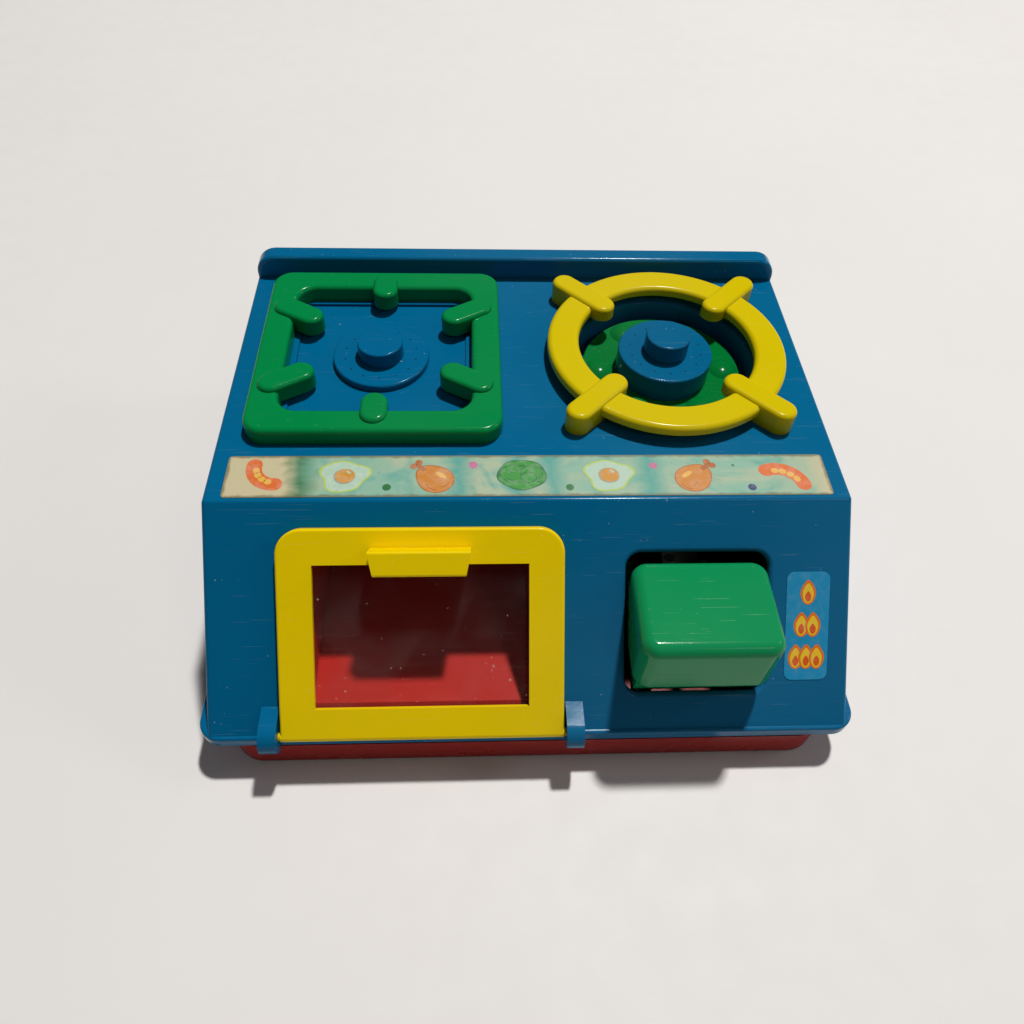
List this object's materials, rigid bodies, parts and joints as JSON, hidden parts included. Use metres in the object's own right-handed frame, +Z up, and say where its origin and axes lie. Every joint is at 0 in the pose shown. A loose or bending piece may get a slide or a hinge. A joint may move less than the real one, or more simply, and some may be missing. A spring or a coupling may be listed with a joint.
{
  "type": "toy kitchen",
  "caption": "Toy kitchen: wedge-shaped casing with a hob, pan supports, an oven with a drop-down glazed door, and a press lever that turns a burner and its bumped disc.",
  "frame": {"origin": "centre of the base tray's flat underside, on the table", "axes": "+X to the cook's right along the length, +Y to the back, +Z up"},
  "size_m": [0.261, 0.2246, 0.0994],
  "materials": {
    "casing_blue": "glossy injection-moulded blue",
    "base_red": "glossy injection-moulded red",
    "liner_red": "glossy injection-moulded red",
    "door_yellow": "glossy injection-moulded yellow",
    "window_clear": "clear, lightly scuffed sheet",
    "support_green": "glossy injection-moulded green",
    "support_yellow": "glossy injection-moulded yellow",
    "burner_blue": "glossy injection-moulded blue",
    "disc_green": "glossy injection-moulded green",
    "lever_green": "glossy injection-moulded green",
    "inner_white": "natural white, unpainted",
    "steel_plain": "bright drawn steel",
    "steel_zinc": "zinc-plated steel",
    "food_print": "worn printed paper strip",
    "flame_print": "worn printed paper"
  },
  "bodies": {
    "housing": {"body_shell": "casing_blue", "base_tray": "base_red", "base_screws": "steel_zinc", "oven_liner": "liner_red", "square_pan_support": "support_green", "ring_pan_support": "support_yellow", "rack_keeper": "inner_white", "keeper_screws": "steel_zinc", "lever_axle": "steel_plain", "lever_spring": "steel_plain", "food_sticker": "food_print", "flame_sticker": "flame_print"},
    "door": {"door_frame": "door_yellow", "door_window": "window_clear"},
    "lever": {"lever": "lever_green"},
    "rack": {"drive_rack": "inner_white"},
    "rotor": {"rotor_spindle": "steel_plain", "rotor_pinion": "inner_white", "shaker_disc": "disc_green", "burner_cap": "burner_blue", "spindle_clip": "steel_zinc"}
  },
  "joints": [
    {"name": "door_hinge", "type": "hinge", "parent": "housing", "child": "door", "pos_m": [0, -0.10477, 0.02385], "axis": [1, 0, 0], "range_deg": [0, 144]},
    {"name": "lever_swing", "type": "hinge", "parent": "housing", "child": "lever", "pos_m": [0.0646, -0.04607, 0.046], "axis": [1, 0, 0], "range_deg": [0, 12], "stiffness_Nm_per_rad": 0.25, "springref_deg": -17.19, "deforming": ["lever_spring"]},
    {"name": "rack_slide", "type": "slide", "parent": "housing", "child": "rack", "axis": [0, 1, 0], "range_m": [0, 0.00504]},
    {"name": "rotor_spin", "type": "hinge", "parent": "housing", "child": "rotor", "pos_m": [0.0625, 0.04298, 0], "axis": [0, 0, 1], "range_deg": [0, 41.5]}
  ],
  "couplings": [
    {"joint": "rack_slide", "follows": "lever_swing", "m_per_rad": 0.024},
    {"joint": "rotor_spin", "follows": "lever_swing", "ratio": 3.4286}
  ]
}
